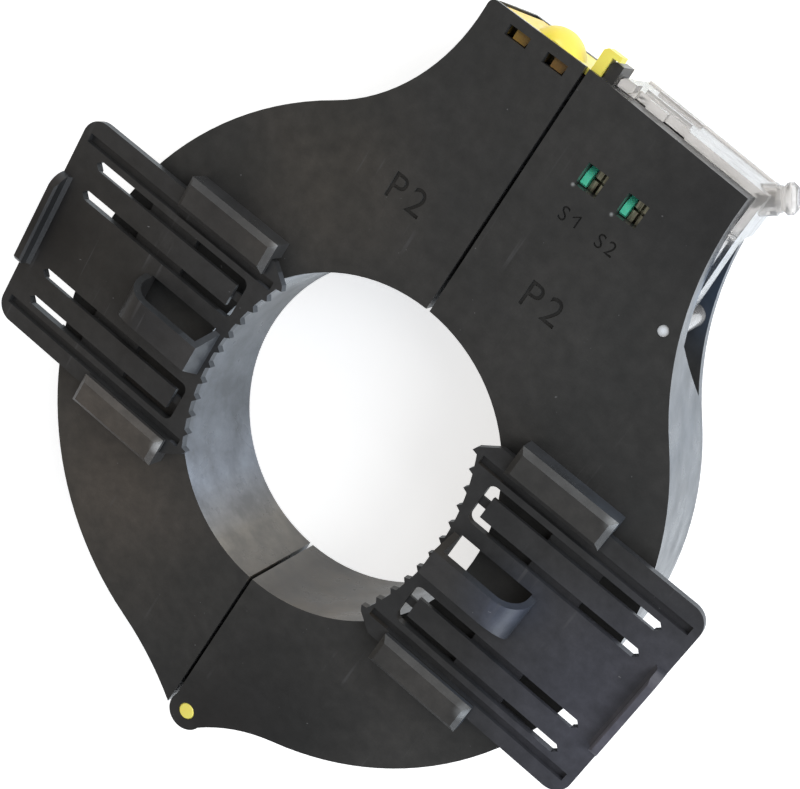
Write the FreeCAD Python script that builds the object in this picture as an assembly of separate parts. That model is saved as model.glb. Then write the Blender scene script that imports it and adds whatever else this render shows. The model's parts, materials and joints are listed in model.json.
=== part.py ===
import FreeCAD, Part
import math
import os

# Split-core current transformer with a round cable window. It lies on its back: the back face is at
# z = 0 and the front face looks up. The origin is on the axis of the window, +X points to the half
# with the terminals and +Y to the latch. Lengths are in millimetres, angles in degrees.

V = FreeCAD.Vector
UP = V(0, 0, 1)

# Housing, as seen from the front
bore_radius = 40.0
ring_radius = 76.25
body_depth = 31.0
parting_gap = 0.9
head_rise = 23.15
head_slope = 0.045
head_back_drop = 1.5
shoulder_drop = 1.0
terminal_head_width = 40.5
opening_head_width = 24.5
head_corner_radius = 1.5
overshoot = 1.0

# Walls
front_wall = 2.2
bore_wall = 2.6
rim_wall = 2.8
parting_wall = 1.6
back_cover_thickness = 2.0

half_gap = parting_gap / 2
head_top = ring_radius + head_rise
front_face = body_depth
cavity_inner = bore_radius + bore_wall
cavity_outer = ring_radius - rim_wall
cavity_front = body_depth - front_wall

# Main hinge at the foot of the ring
hinge_x = 5.0
hinge_drop = 5.75
hinge_boss_radius = 5.0
hinge_pin_radius = 2.2
hinge_pin_play = 0.05
knuckle_radius = 4.75
knuckle_length = 10.0
knuckle_clearance = 0.35
foot_corner_drop = 1.5
opening_foot_tangent = 253.0
terminal_foot_tangent = 291.0
boss_blend_angle = -17.0
pin_end_chamfer = 0.3
pin_recess = 0.2

hinge_y = -(ring_radius + hinge_drop)
foot_corner_y = hinge_y - foot_corner_drop

# Iron core, bobbin and winding
core_inner_space = 4.4
core_outer_space = 4.45
core_end_space = 4.6
core_face_gap = 0.1
core_play = 0.2
bobbin_wall = 1.2
bobbin_half_angle = 52.0
bobbin_flange = 1.5
flange_play = 0.3
winding_thickness = 1.6
winding_play = 0.02
winding_end_angle = 0.2
cradle_half_angle = 62.0
spring_strip = 0.5
spring_play = 0.1
spring_width = 10.0
spring_angle = 38.0
spring_span_angle = 20.0

core_inner_radius = cavity_inner + core_inner_space
core_outer_radius = cavity_outer - core_outer_space
core_back = back_cover_thickness + core_end_space
core_front = cavity_front - core_end_space
bobbin_inner = core_inner_radius - core_play - bobbin_wall
bobbin_outer = core_outer_radius + core_play + bobbin_wall
bobbin_low = core_back - core_play - bobbin_wall
bobbin_high = core_front + core_play + bobbin_wall

# Clamp brackets on the front face
bracket_thickness = 2.0
bracket_lift = 0.2
bracket_reach = 7.5
bracket_length = 54.4
bracket_half_width = 27.8
bracket_corner_radius = 4.5
bracket_left_offset = 2.9
tooth_edge_depth = 5.8
tooth_edge_inset = 3.2
tooth_flat = 1.5
tooth_count = 12
tooth_height = 1.1
tooth_width = 1.7
side_groove_inset = 6.1
side_groove_width = 2.2
side_groove_depth = 1.4
side_groove_end_margin = 2.0
slot_width = 2.4
slot_offsets = (11.1, 18.95)
slot_inset = 3.4
slot_end_margin = 6.6
slot_web_inset = 17.8
slot_web_length = 13.7
slot_web_rise = 0.1
slot_web_side = 1.3
tongue_thickness = 1.1
runner_height = 1.6
runner_width = 5.0
runner_start = 2.0
runner_end_margin = 16.0
tongue_gap_inset = 1.1
tongue_gap_corner = 1.8
tongue_bar_width = 2.0
tongue_bar_thickness = 0.8
grip_inset = 0.9
grip_length = 23.1
grip_height = 8.2
grip_strap = 1.6
grip_bend_radius = 7.0
grip_base_half_width = 5.8
grip_top_half_width = 3.2
grip_side_gap = 0.5
end_rib_length = 2.1
end_rib_half_width = 12.3
end_rib_height = 3.4
end_rib_bevel = 0.5
end_rib_foot = 0.8
end_rib_ramp = 4.6
end_rib_corner = 0.9

bracket_inner = bore_radius - bracket_reach
bracket_outer = bracket_inner + bracket_length
tooth_corner_x = bracket_inner - tooth_edge_depth
tooth_corner_y = bracket_half_width - tooth_edge_inset
slot_start = bracket_inner + slot_inset
slot_end = bracket_outer - slot_end_margin
grip_start = bracket_inner + grip_inset
grip_end = grip_start + grip_length
bracket_under = front_face + bracket_lift + runner_height

# Guide blocks that hold the brackets down
guide_offset = 5.4
guide_length = 25.4
guide_lip = 3.95
guide_wall = 3.75
guide_height = 6.5
guide_play = 0.3
guide_chamfer = 1.3

guide_start = bore_radius - guide_offset
guide_wall_y = bracket_half_width + guide_play
guide_inner_y = guide_wall_y - guide_lip
guide_outer_y = guide_wall_y + guide_wall

# Latch slider in the head of the opening half
latch_channel_front = 1.6
latch_channel_back = 2.6
latch_channel_depth = 4.5
latch_left_wall = 0.9
latch_end_wall = 1.6
latch_end_wall_drop = 2.5
latch_play = 0.3
latch_travel = 1.6
latch_plate_drop = 0.1
latch_plate_thickness = 1.5
latch_dome_middle = 8.85
latch_dome_half_width = 5.6
latch_dome_rise = 2.9
latch_dome_depth = 5.5
lug_height = 2.0
lug_lengths = (3.6, 3.4)
lug_right_ends = (13.0, 3.6)
lug_slant = 0.5
lug_recess = 1.2
lug_pocket_depth = 3.0
hook_left = 0.2
hook_bevel = 0.7
hook_reach = 1.4
hook_play = 0.4
hook_thickness = 1.1
hook_rise = 0.3
hook_width = 4.1

latch_channel_floor = head_top - latch_channel_depth
latch_channel_left = opening_head_width - latch_left_wall
latch_end_wall_top = head_top - latch_end_wall_drop
latch_plate_top = head_top - latch_plate_drop
latch_plate_bottom = latch_plate_top - latch_plate_thickness
latch_z0 = latch_channel_back + latch_play
latch_z1 = front_face - latch_channel_front - latch_play
lug_bottom = latch_channel_floor + latch_play

# Terminal space
space_left = 7.3
space_side_wall = 3.3
space_floor_wall = 2.35
space_wall = 2.2
space_back_wall = 2.0

space_right = terminal_head_width - space_side_wall
space_floor = cavity_outer + space_floor_wall
space_back = back_cover_thickness + space_back_wall

# Catch on the terminal half, which the hook of the latch reaches over
catch_left = 2.9
catch_length = 2.5
catch_rise = 3.65
catch_bevel = 0.5
catch_front = 2.8
catch_width = 8.0

catch_right = catch_left + catch_length
catch_top = head_top + catch_rise

# Clear cover over the terminal space
cover_front = 6.8
cover_back_wall = 1.5
cover_play = 0.3
cover_rise = 1.8
cover_thickness = 1.8
cover_overhang = 2.1
cover_hinge_offset = 0.2
cover_hinge_drop = 31.9
cover_pin_radius = 1.2
cover_pin_play = 0.05
cover_barrel_radius = 2.6
cover_barrel_play = 0.5
cover_leg_drop = 11.0
cover_leg_width = 9.0
cover_foot_radius = 4.0
cover_notch_depth = 2.2
cover_notches = ((9.6, 12.4), (17.0, 22.4))
cover_rib_height = 0.6
cover_rib_width = 1.0
cover_rib_inset = 4.0
cover_rib_length = 11.5
cover_rim_height = 0.4
cover_rim_width = 0.8
cover_tab_gap = 0.3
cover_tab_length = 3.4
cover_tab_width = 3.2
cover_tab_height = 2.3
cover_tab_bevel = 0.8
snap_gap = 1.2
snap_length = 5.0
snap_thickness = 1.2
snap_width = 7.0
snap_nose = 0.6
ledge_depth = 2.3
recess_floor_depth = 0.85
recess_end_front_drop = 1.5
recess_end_back_drop = 13.5

cover_z0 = back_cover_thickness + cover_back_wall
cover_z1 = body_depth - cover_front
cover_left = catch_right + cover_play
cover_side_x = terminal_head_width + cover_overhang
cover_inner_x = cover_side_x - cover_thickness
cover_top = head_top + cover_rise
cover_under = cover_top - cover_thickness
cover_leg_top = head_top - cover_leg_drop
cover_hinge_x = cover_side_x + cover_hinge_offset
cover_hinge_y = head_top - cover_hinge_drop
snap_x = space_left + snap_gap
recess_z0 = cover_z0 - cover_play
recess_z1 = cover_z1 + cover_play
recess_left = space_right + space_wall
recess_floor_radius = ring_radius - recess_floor_depth
recess_end_front = cover_hinge_y - recess_end_front_drop
recess_end_back = cover_hinge_y - recess_end_back_drop

# Sealing screw in the corner of the cover
seal_angle = 38.0
seal_inset = 7.2
seal_drop = 2.6
seal_boss_radius = 3.3
seal_boss_length = 3.6
seal_shank_radius = 1.5
seal_shank_play = 0.05
seal_shank_depth = 0.3
seal_head_radius = 3.3
seal_head_length = 3.1
seal_head_chamfer = 1.0
seal_collar_length = 0.9
seal_collar_radius = 2.8
seal_slot_width = 0.9
seal_slot_depth = 1.0

seal_z = cover_z1 - seal_inset

# Terminal block with two spring clamps and their release buttons
window_size = 5.1
window_lefts = (10.9, 21.0)
block_floor = 4.2
block_side_wall = 4.6
block_roof = 5.5
block_depth = 14.0
pocket_depth = 8.0
button_width = 1.5
button_play = 0.15
button_travel = 0.8
button_slope = 1.8
button_nose = 0.4
clamp_gap = 0.25
clamp_recess = 1.6
clamp_slit = 0.6
clamp_slit_depth = 2.4
wire_entry_radius = 1.9

block_right = window_lefts[-1] + window_size + block_side_wall
window_bottom = space_floor + block_floor
window_top = window_bottom + window_size
block_top = window_top + block_roof
block_front = cavity_front
block_back = block_front - block_depth
pocket_back = block_front - pocket_depth

# Strips that lead from the winding to the clamps
lead_thickness = 0.6
lead_width = 1.4
lead_rim_gap = 0.5
lead_step = 2.6
lead_first = 1.2
lead_play = 0.2
lead_end_angle = 0.3


# Small geometry helpers

def arc_about(centre, start, end):
    """Shorter arc about a centre, from start to end."""
    a = start.sub(centre)
    b = end.sub(centre)
    middle = a.add(b)
    middle.normalize()
    return Part.Arc(start, centre.add(middle.multiply(a.Length)), end).toShape()


def arc_through(start, middle, end):
    return Part.Arc(start, middle, end).toShape()


def line(start, end):
    return Part.LineSegment(start, end).toShape()


def polygon(points):
    return Part.Face(Part.makePolygon(points + [points[0]]))


def prism(face, low, high):
    """Solid over a face drawn at z = 0, from one height to another."""
    solid = face.extrude(V(0, 0, high - low))
    solid.translate(V(0, 0, low))
    return solid


def box(x0, x1, y0, y1, z0, z1):
    return Part.makeBox(x1 - x0, y1 - y0, z1 - z0, V(x0, y0, z0))


def cylinder(radius, x, y, z0, z1):
    return Part.makeCylinder(radius, z1 - z0, V(x, y, z0), UP)


def tube(inner, outer, z0, z1):
    return cylinder(outer, 0, 0, z0, z1).cut(cylinder(inner, 0, 0, z0, z1))


def polar(radius, angle):
    return V(radius * math.cos(math.radians(angle)), radius * math.sin(math.radians(angle)), 0)


def sector(inner, outer, z0, z1, middle_angle, half_angle):
    """Piece of a ring, centred on one angle."""
    ring = Part.makeCylinder(outer, z1 - z0, V(0, 0, z0), UP, 2 * half_angle)
    ring = ring.cut(cylinder(inner, 0, 0, z0, z1))
    ring.rotate(V(0, 0, 0), UP, middle_angle - half_angle)
    return ring


def flare_radius(point, direction):
    """Radius of the hollow arc that leaves the ring along its tangent and ends at a point."""
    reach = direction.dot(point)
    square = ring_radius ** 2 + point.Length ** 2
    return (2 * ring_radius * reach - square) / (2 * (ring_radius - reach))


def shoulder(width, height):
    """Centre and ring point of the hollow arc between an upright side and the ring."""
    radius = (width ** 2 + height ** 2 - ring_radius ** 2) / (2 * (ring_radius - width))
    centre = V(width + radius, height, 0)
    touch = V(centre.x, centre.y, 0).multiply(ring_radius / (ring_radius + radius))
    return centre, touch


def mirrored(point):
    return V(-point.x, point.y, 0)


# Outlines of the two halves

bore_edge_y = math.sqrt(bore_radius ** 2 - half_gap ** 2)
shoulder_y = head_top - shoulder_drop
hinge_axis = V(hinge_x, hinge_y, 0)


def sloped(y, x):
    """Height at x of a line that falls with the head of the terminal half."""
    return y - head_slope * x


def head_wedge(drop):
    """Room above the head, whose top falls towards the back."""
    wedge = polygon([
        V(0, head_top - drop, front_face),
        V(0, head_top + head_rise, front_face),
        V(0, head_top + head_rise, 0),
        V(0, head_top - head_back_drop - drop, 0),
    ]).extrude(V(opening_head_width + terminal_head_width, 0, 0))
    wedge.translate(V(-opening_head_width, 0, 0))
    return wedge


def terminal_outline():
    side_foot = V(terminal_head_width, sloped(shoulder_y, terminal_head_width), 0)
    centre, touch = shoulder(terminal_head_width, side_foot.y)
    foot_direction = polar(1, terminal_foot_tangent)
    foot_touch = polar(ring_radius, terminal_foot_tangent)
    boss_start = hinge_axis.add(polar(hinge_boss_radius, boss_blend_angle))
    foot_radius = flare_radius(boss_start, foot_direction)
    foot_centre = polar(ring_radius + foot_radius, terminal_foot_tangent)
    boss_rise = math.degrees(math.acos((half_gap - hinge_x) / hinge_boss_radius))
    boss_end_angle = boss_rise - 360
    boss_end = hinge_axis.add(polar(hinge_boss_radius, boss_end_angle))
    boss_middle = hinge_axis.add(polar(hinge_boss_radius, (boss_blend_angle + boss_end_angle) / 2))
    top_inner = V(half_gap, bore_edge_y, 0)
    side_top = V(terminal_head_width, sloped(head_top, terminal_head_width), 0)
    foot_inner = V(half_gap, -bore_edge_y, 0)
    edges = [
        line(top_inner, V(half_gap, head_top, 0)),
        line(V(half_gap, head_top, 0), side_top),
        line(side_top, side_foot),
        arc_about(centre, side_foot, touch),
        arc_about(V(0, 0, 0), touch, foot_touch),
        arc_about(foot_centre, foot_touch, boss_start),
        arc_through(boss_start, boss_middle, boss_end),
        line(boss_end, foot_inner),
        arc_through(foot_inner, V(bore_radius, 0, 0), top_inner),
    ]
    return Part.Face(Part.Wire(edges))


def opening_outline():
    foot_corner = V(-half_gap, foot_corner_y, 0)
    foot_touch = polar(ring_radius, opening_foot_tangent)
    foot_radius = flare_radius(foot_corner, polar(1, opening_foot_tangent))
    foot_centre = polar(ring_radius + foot_radius, opening_foot_tangent)
    round_centre = V(head_corner_radius - opening_head_width, head_top - head_corner_radius, 0)
    round_top = round_centre.add(V(0, head_corner_radius, 0))
    round_side = round_centre.add(V(-head_corner_radius, 0, 0))
    side_foot = V(-opening_head_width, shoulder_y - head_corner_radius, 0)
    centre, touch = shoulder(opening_head_width, side_foot.y)
    centre = mirrored(centre)
    touch = mirrored(touch)
    top_inner = V(-half_gap, bore_edge_y, 0)
    head_inner = V(-half_gap, head_top, 0)
    foot_inner = V(-half_gap, -bore_edge_y, 0)
    edges = [
        line(top_inner, head_inner),
        line(head_inner, round_top),
        arc_about(round_centre, round_top, round_side),
        line(round_side, side_foot),
        arc_about(centre, side_foot, touch),
        arc_about(V(0, 0, 0), touch, foot_touch),
        arc_about(foot_centre, foot_touch, foot_corner),
        line(foot_corner, foot_inner),
        arc_through(foot_inner, V(-bore_radius, 0, 0), top_inner),
    ]
    return Part.Face(Part.Wire(edges))


# Shared cuts of both halves; side is +1 for the terminal half and -1 for the opening half


def beside(side, near, far, y0, y1, z0, z1):
    """Box at a distance from the parting plane, on one side of it."""
    low = min(side * near, side * far)
    high = max(side * near, side * far)
    return box(low, high, y0, y1, z0, z1)


def core_cavity(side):
    """Half-round hollow for the core, with a window in each parting wall for its pole faces."""
    ring = tube(cavity_inner, cavity_outer, 0, cavity_front)
    near = half_gap + parting_wall
    cavity = ring.common(beside(side, near, ring_radius, -ring_radius, ring_radius, 0, cavity_front))
    low = core_back - core_play
    high = core_front + core_play
    inner = core_inner_radius - core_play
    outer = core_outer_radius + core_play
    upper = beside(side, 0, near + overshoot, inner, outer, low, high)
    lower = beside(side, 0, near + overshoot, -outer, -inner, low, high)
    return cavity.fuse([upper, lower])


def guide_block(side, up):
    """Block with a lip over the flange of a bracket, chamfered all round its top."""
    top = front_face + guide_height
    lip_under = bracket_under + bracket_thickness + guide_play
    c = guide_chamfer
    profile = polygon([
        V(0, guide_wall_y, front_face),
        V(0, guide_wall_y, lip_under),
        V(0, guide_inner_y, lip_under),
        V(0, guide_inner_y, top - c),
        V(0, guide_inner_y + c, top),
        V(0, guide_outer_y - c, top),
        V(0, guide_outer_y, top - c),
        V(0, guide_outer_y, front_face),
    ])
    block = profile.extrude(V(guide_length, 0, 0))
    ends = polygon([
        V(0, 0, front_face),
        V(0, 0, top - c),
        V(c, 0, top),
        V(guide_length - c, 0, top),
        V(guide_length, 0, top - c),
        V(guide_length, 0, front_face),
    ]).extrude(V(0, guide_outer_y, 0))
    block = block.common(ends)
    block.translate(V(guide_start, 0, 0))
    if up < 0:
        block = block.mirror(V(0, 0, 0), V(0, 1, 0))
    if side < 0:
        block = block.mirror(V(0, 0, 0), V(1, 0, 0))
    return block


def guide_blocks(side):
    return [guide_block(side, 1), guide_block(side, -1)]


# Main hinge

knuckle_low = (body_depth - knuckle_length) / 2
knuckle_high = knuckle_low + knuckle_length


def hinge_hole(z0, z1):
    return cylinder(hinge_pin_radius + hinge_pin_play, hinge_x, hinge_y, z0, z1)


def knuckle_slot():
    """Room in the terminal half for the knuckle of the other half, through its whole swing."""
    radius = hinge_boss_radius + knuckle_clearance
    low = knuckle_low - knuckle_clearance
    high = knuckle_high + knuckle_clearance
    round_part = cylinder(radius, hinge_x, hinge_y, low, high)
    open_part = box(-hinge_boss_radius, hinge_x, hinge_y - radius, hinge_y + radius, low, high)
    return round_part.fuse(open_part)


def knuckle():
    round_part = cylinder(knuckle_radius, hinge_x, hinge_y, knuckle_low, knuckle_high)
    root = -(half_gap + parting_wall)
    arm = polygon([
        V(root, hinge_y + knuckle_radius, 0),
        V(hinge_x, hinge_y + knuckle_radius, 0),
        V(hinge_x, hinge_y - knuckle_radius, 0),
        V(-half_gap, foot_corner_y, 0),
        V(root, foot_corner_y + parting_wall, 0),
    ])
    return round_part.fuse(prism(arm, knuckle_low, knuckle_high))


def hinge_pin():
    length = body_depth - pin_recess
    pin = Part.makeCylinder(hinge_pin_radius, length, V(hinge_x, hinge_y, pin_recess), UP)
    return pin.makeChamfer(pin_end_chamfer, [pin.Edges[0], pin.Edges[2]])


# Terminal half

def cover_recess():
    """Pocket in the outer side that takes the leg and the barrel of the cover."""
    right = shoulder(terminal_head_width, shoulder_y)[1].x
    wide = box(recess_left, right, recess_end_back, head_top + overshoot, recess_z0, recess_z1)
    wide = wide.cut(cylinder(recess_floor_radius, 0, 0, recess_z0, recess_z1))
    slope = polygon([
        V(recess_left, recess_end_back, recess_z0),
        V(recess_left, recess_end_front, recess_z1),
        V(recess_left, recess_end_back, recess_z1),
    ])
    return wide.cut(slope.extrude(V(right - recess_left, 0, 0)))


def terminal_space():
    """Space behind the cover: a deep room below and a ledge near the top that the cover rests on."""
    ledge_top = cover_under - cover_play
    end = terminal_head_width + overshoot
    above = head_top + overshoot
    room = box(space_left, space_right, space_floor, sloped(ledge_top - ledge_depth, space_right),
               space_back, cavity_front)
    neck = box(space_left, space_right, space_floor, above,
               recess_z0 + ledge_depth, recess_z1 - ledge_depth)
    seat = polygon([
        V(catch_right, sloped(ledge_top, catch_right), 0),
        V(end, sloped(ledge_top, end), 0),
        V(end, above, 0),
        V(catch_right, above, 0),
    ])
    return room.fuse([neck, prism(seat, recess_z0, recess_z1)])


def terminal_windows():
    windows = []
    for left in window_lefts:
        windows.append(box(left, left + window_size, window_bottom, window_top,
                           cavity_front - overshoot, front_face + overshoot))
    return windows


def lead_upright(index, play):
    """Straight stretch of a lead strip, from the rim of the cavity to the floor of its pocket."""
    middle = window_lefts[index] + window_size / 2
    half = lead_width / 2 + play
    z0 = pocket_back + lead_first + index * lead_step - play
    foot = math.sqrt((cavity_outer - lead_rim_gap - lead_thickness) ** 2 - (middle - half) ** 2)
    return box(middle - half, middle + half, foot, window_bottom + play,
               z0, z0 + lead_thickness + 2 * play)


def lead_slots():
    return [lead_upright(index, lead_play) for index in range(len(window_lefts))]


def hook_recess():
    """Cut beside the parting plane that the low part of the latch hook passes through."""
    return box(0, catch_left, latch_end_wall_top, head_top + overshoot,
               latch_channel_back, front_face - latch_channel_front)


def catch():
    """Raised block that the hook of the latch reaches over."""
    profile = polygon([
        V(catch_left, latch_end_wall_top, 0),
        V(catch_left, catch_top - catch_bevel, 0),
        V(catch_left + catch_bevel, catch_top, 0),
        V(catch_right, catch_top, 0),
        V(catch_right, latch_end_wall_top, 0),
    ])
    front = front_face - catch_front
    return prism(profile, front - catch_width, front)


def cover_pin_hole(z0, z1):
    return cylinder(cover_pin_radius + cover_pin_play, cover_hinge_x, cover_hinge_y, z0, z1)


def terminal_half_shell():
    shell = prism(terminal_outline(), back_cover_thickness, body_depth)
    cuts = [core_cavity(1), cover_recess(), terminal_space(), hook_recess(), knuckle_slot()]
    cuts += terminal_windows() + lead_slots()
    cuts += [hinge_hole(0, body_depth), cover_pin_hole(back_cover_thickness, body_depth)]
    barrel_room = cylinder(cover_barrel_radius + cover_barrel_play, cover_hinge_x, cover_hinge_y,
                           recess_z0, recess_z1)
    shell = shell.cut(cuts + [barrel_room, head_wedge(0)])
    shell = shell.fuse([catch()] + guide_blocks(1))
    return shell.removeSplitter()


def terminal_half_back_cover():
    plate = prism(terminal_outline(), 0, back_cover_thickness)
    return plate.cut([hinge_hole(0, back_cover_thickness), head_wedge(0)])


# Opening half

def latch_channel():
    """Channel across the head for the latch, with a low wall at the parting plane."""
    z0 = latch_channel_back
    z1 = front_face - latch_channel_front
    deep = box(-latch_channel_left, -(half_gap + latch_end_wall), latch_channel_floor,
               head_top + overshoot, z0, z1)
    over = box(-latch_channel_left, overshoot, latch_end_wall_top, head_top + overshoot, z0, z1)
    return deep.fuse(over)


def lug_windows():
    """Two windows in the front rim, as long as the latch lugs and their travel."""
    windows = []
    for length, right in zip(lug_lengths, lug_right_ends):
        low = lug_bottom - latch_play / 2
        windows.append(box(-(right + length + latch_travel), -(right - latch_play / 2), low,
                           low + lug_height + latch_play, cavity_front, front_face + overshoot))
    return windows


def head_pocket():
    """Hollow between the latch channel and the ring, closed by the back cover."""
    return box(parting_wall - opening_head_width, -(half_gap + parting_wall),
               cavity_outer + rim_wall, latch_channel_floor - front_wall,
               back_cover_thickness, cavity_front)


def opening_half_shell():
    shell = prism(opening_outline(), back_cover_thickness, body_depth)
    boss_room = cylinder(hinge_boss_radius + half_gap, hinge_x, hinge_y, 0, body_depth)
    shell = shell.cut([core_cavity(-1), latch_channel(), head_pocket(), head_wedge(0)] + lug_windows())
    shell = shell.cut(boss_room)
    shell = shell.fuse([knuckle()] + guide_blocks(-1))
    shell = shell.cut(hinge_hole(0, body_depth))
    return shell.removeSplitter()


def opening_half_back_cover():
    plate = prism(opening_outline(), 0, back_cover_thickness)
    boss_room = cylinder(hinge_boss_radius + half_gap, hinge_x, hinge_y, 0, body_depth)
    return plate.cut([boss_room, head_wedge(0)])


# Core, bobbin, winding and the sprung cradle of the second core half

def core_half(side):
    ring = tube(core_inner_radius, core_outer_radius, core_back, core_front)
    return ring.common(beside(side, core_face_gap / 2, ring_radius, -ring_radius, ring_radius,
                              core_back, core_front))


def core_room(middle, half_angle):
    return sector(core_inner_radius - core_play, core_outer_radius + core_play,
                  core_back - core_play, core_front + core_play, middle, half_angle)


def secondary_bobbin():
    """Tube of rectangular section round the core, with a flange at each end."""
    sleeve = sector(bobbin_inner, bobbin_outer, bobbin_low, bobbin_high, 0, bobbin_half_angle)
    flange_half_angle = math.degrees(bobbin_flange / core_outer_radius)
    flanges = []
    for end in (-1, 1):
        flanges.append(sector(cavity_inner + flange_play, cavity_outer - flange_play,
                              back_cover_thickness + flange_play, cavity_front - flange_play,
                              end * (bobbin_half_angle - flange_half_angle), flange_half_angle))
    return sleeve.fuse(flanges).cut(core_room(0, bobbin_half_angle + overshoot)).removeSplitter()


def secondary_winding():
    """Wire package on the bobbin, between its flanges."""
    flange_angle = 2 * math.degrees(bobbin_flange / core_outer_radius)
    half_angle = bobbin_half_angle - flange_angle - winding_end_angle
    package = sector(bobbin_inner - winding_thickness, bobbin_outer + winding_thickness,
                     bobbin_low - winding_thickness, bobbin_high + winding_thickness, 0, half_angle)
    return package.cut(sector(bobbin_inner - winding_play, bobbin_outer + winding_play,
                              bobbin_low - winding_play, bobbin_high + winding_play,
                              0, half_angle + overshoot))


def core_cradle():
    """Channel-shaped carrier behind the core of the opening half, open towards the window axis."""
    carrier = sector(core_inner_radius + core_play, bobbin_outer, bobbin_low, bobbin_high,
                     180, cradle_half_angle)
    return carrier.cut(core_room(180, cradle_half_angle + overshoot))


def core_spring(middle):
    """Bowed leaf between the cradle and the rim wall, which presses the core halves together."""
    foot = bobbin_outer + spring_strip / 2 + spring_play
    crest = cavity_outer - spring_strip / 2 - spring_play
    half = spring_span_angle / 2
    thin = spring_strip / 2
    low_inner = polar(foot - thin, middle - half)
    low_outer = polar(foot + thin, middle - half)
    high_inner = polar(foot - thin, middle + half)
    high_outer = polar(foot + thin, middle + half)
    face = Part.Face(Part.Wire([
        arc_through(low_inner, polar(crest - thin, middle), high_inner),
        line(high_inner, high_outer),
        arc_through(high_outer, polar(crest + thin, middle), low_outer),
        line(low_outer, low_inner),
    ]))
    low = (core_back + core_front - spring_width) / 2
    return prism(face, low, low + spring_width)


# Latch slider

def dome():
    """Thumb grip on the latch, a cap of a sphere that the front of the latch cuts off."""
    height = latch_plate_drop + latch_dome_rise
    radius = (latch_dome_half_width ** 2 + height ** 2) / (2 * height)
    middle = V(-latch_dome_middle, latch_plate_top + height - radius, latch_z1 - latch_dome_depth)
    room = box(-latch_channel_left, 0, latch_plate_bottom, head_top + radius, latch_z0, latch_z1)
    return Part.makeSphere(radius, middle).common(room)


def latch_hook():
    """Post at the end of the latch whose nose reaches over the catch."""
    right = catch_left - hook_play
    under = catch_top + hook_rise
    top = under + hook_thickness
    profile = polygon([
        V(hook_left, latch_plate_bottom, 0),
        V(right, latch_plate_bottom, 0),
        V(right, under, 0),
        V(catch_left + hook_reach, under, 0),
        V(catch_left + hook_reach, top, 0),
        V(hook_left + hook_bevel, top, 0),
        V(hook_left, top - hook_bevel, 0),
    ])
    return prism(profile, latch_z1 - hook_width, latch_z1)


def latch_slider():
    """Slider with lugs beside small pockets, a thumb grip and a hook that crosses the parting plane."""
    left = latch_channel_left - latch_travel - latch_play
    low_right = half_gap + latch_end_wall + latch_play
    profile = polygon([
        V(-left, lug_bottom, 0),
        V(-low_right, lug_bottom, 0),
        V(-low_right, latch_plate_bottom, 0),
        V(catch_left - hook_play, latch_plate_bottom, 0),
        V(catch_left - hook_play, latch_plate_top, 0),
        V(-left, latch_plate_top, 0),
    ])
    slider = prism(profile, latch_z0, latch_z1).cut(head_wedge(latch_plate_drop))
    parts = [dome(), latch_hook()]
    pockets = []
    for length, right in zip(lug_lengths, lug_right_ends):
        end = right + length
        pockets.append(box(-(end + latch_travel), -end, lug_bottom, lug_bottom + lug_height,
                           latch_z1 - lug_pocket_depth, latch_z1 + overshoot))
        lug = polygon([
            V(-(right + length), lug_bottom, 0),
            V(-(right + lug_slant), lug_bottom, 0),
            V(-right, lug_bottom + lug_height, 0),
            V(-(right + length), lug_bottom + lug_height, 0),
        ])
        parts.append(prism(lug, latch_z1 - overshoot, front_face - lug_recess))
    return slider.cut(pockets).fuse(parts).removeSplitter()


# Terminal block, clamps, buttons and leads

def terminal_block():
    """Insulating block with a pocket behind each window and a wire entry above it."""
    block = box(space_left, block_right, space_floor, block_top, block_back, block_front)
    cuts = lead_slots()
    for left in window_lefts:
        cuts.append(box(left, left + window_size, window_bottom, window_top,
                        pocket_back, block_front))
        entry_start = V(left + window_size / 2, window_top - overshoot, (block_front + pocket_back) / 2)
        entry_length = block_top - entry_start.y + overshoot
        cuts.append(Part.makeCylinder(wire_entry_radius, entry_length, entry_start, V(0, 1, 0)))
    return block.cut(cuts)


def release_button(index):
    """Green button at the left of a pocket, with a sloping top; a tool pushes it in to open the clamp."""
    left = window_lefts[index] + button_play
    low = window_bottom + button_play
    high = window_top - button_play
    z0 = pocket_back + button_travel + button_play
    z1 = block_front - button_play
    profile = polygon([
        V(left, low, z0),
        V(left, low, z1 - button_nose),
        V(left, low + button_nose, z1),
        V(left, (low + high) / 2, z1),
        V(left, high, z1 - button_slope),
        V(left, high, z0),
    ])
    return profile.extrude(V(button_width, 0, 0))


def wire_clamp(index):
    """Bent metal clamp at the right of a pocket, with slits between its jaws."""
    left = window_lefts[index] + button_play + button_width + clamp_gap
    right = window_lefts[index] + window_size
    low = window_bottom
    high = window_top
    z1 = block_front - clamp_recess
    clamp = box(left, right, low, high, pocket_back, z1)
    middle_x = (left + right) / 2
    middle_y = (low + high) / 2
    slit_z = z1 - clamp_slit_depth
    slits = [
        box(middle_x - clamp_slit / 2, middle_x + clamp_slit / 2, low, high, slit_z, z1),
        box(left, right, middle_y - clamp_slit / 2, middle_y + clamp_slit / 2, slit_z, z1),
    ]
    return clamp.cut(slits)


def secondary_lead(index):
    """Flat strip from the end of the winding, along the rim and up to the clamp in its pocket."""
    upright = lead_upright(index, 0)
    outer = cavity_outer - lead_rim_gap
    low = upright.BoundBox.ZMin
    start = bobbin_half_angle + lead_end_angle
    end = math.degrees(math.acos(upright.BoundBox.XMin / outer))
    along = sector(outer - lead_thickness, outer, low, low + lead_thickness,
                   (start + end) / 2, (end - start) / 2)
    return along.fuse(upright).removeSplitter()


def secondary_leads():
    return Part.makeCompound([secondary_lead(index) for index in range(len(window_lefts))])


# Terminal cover, its pin and the sealing screw

def seal_axis():
    return polar(1, seal_angle)


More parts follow.
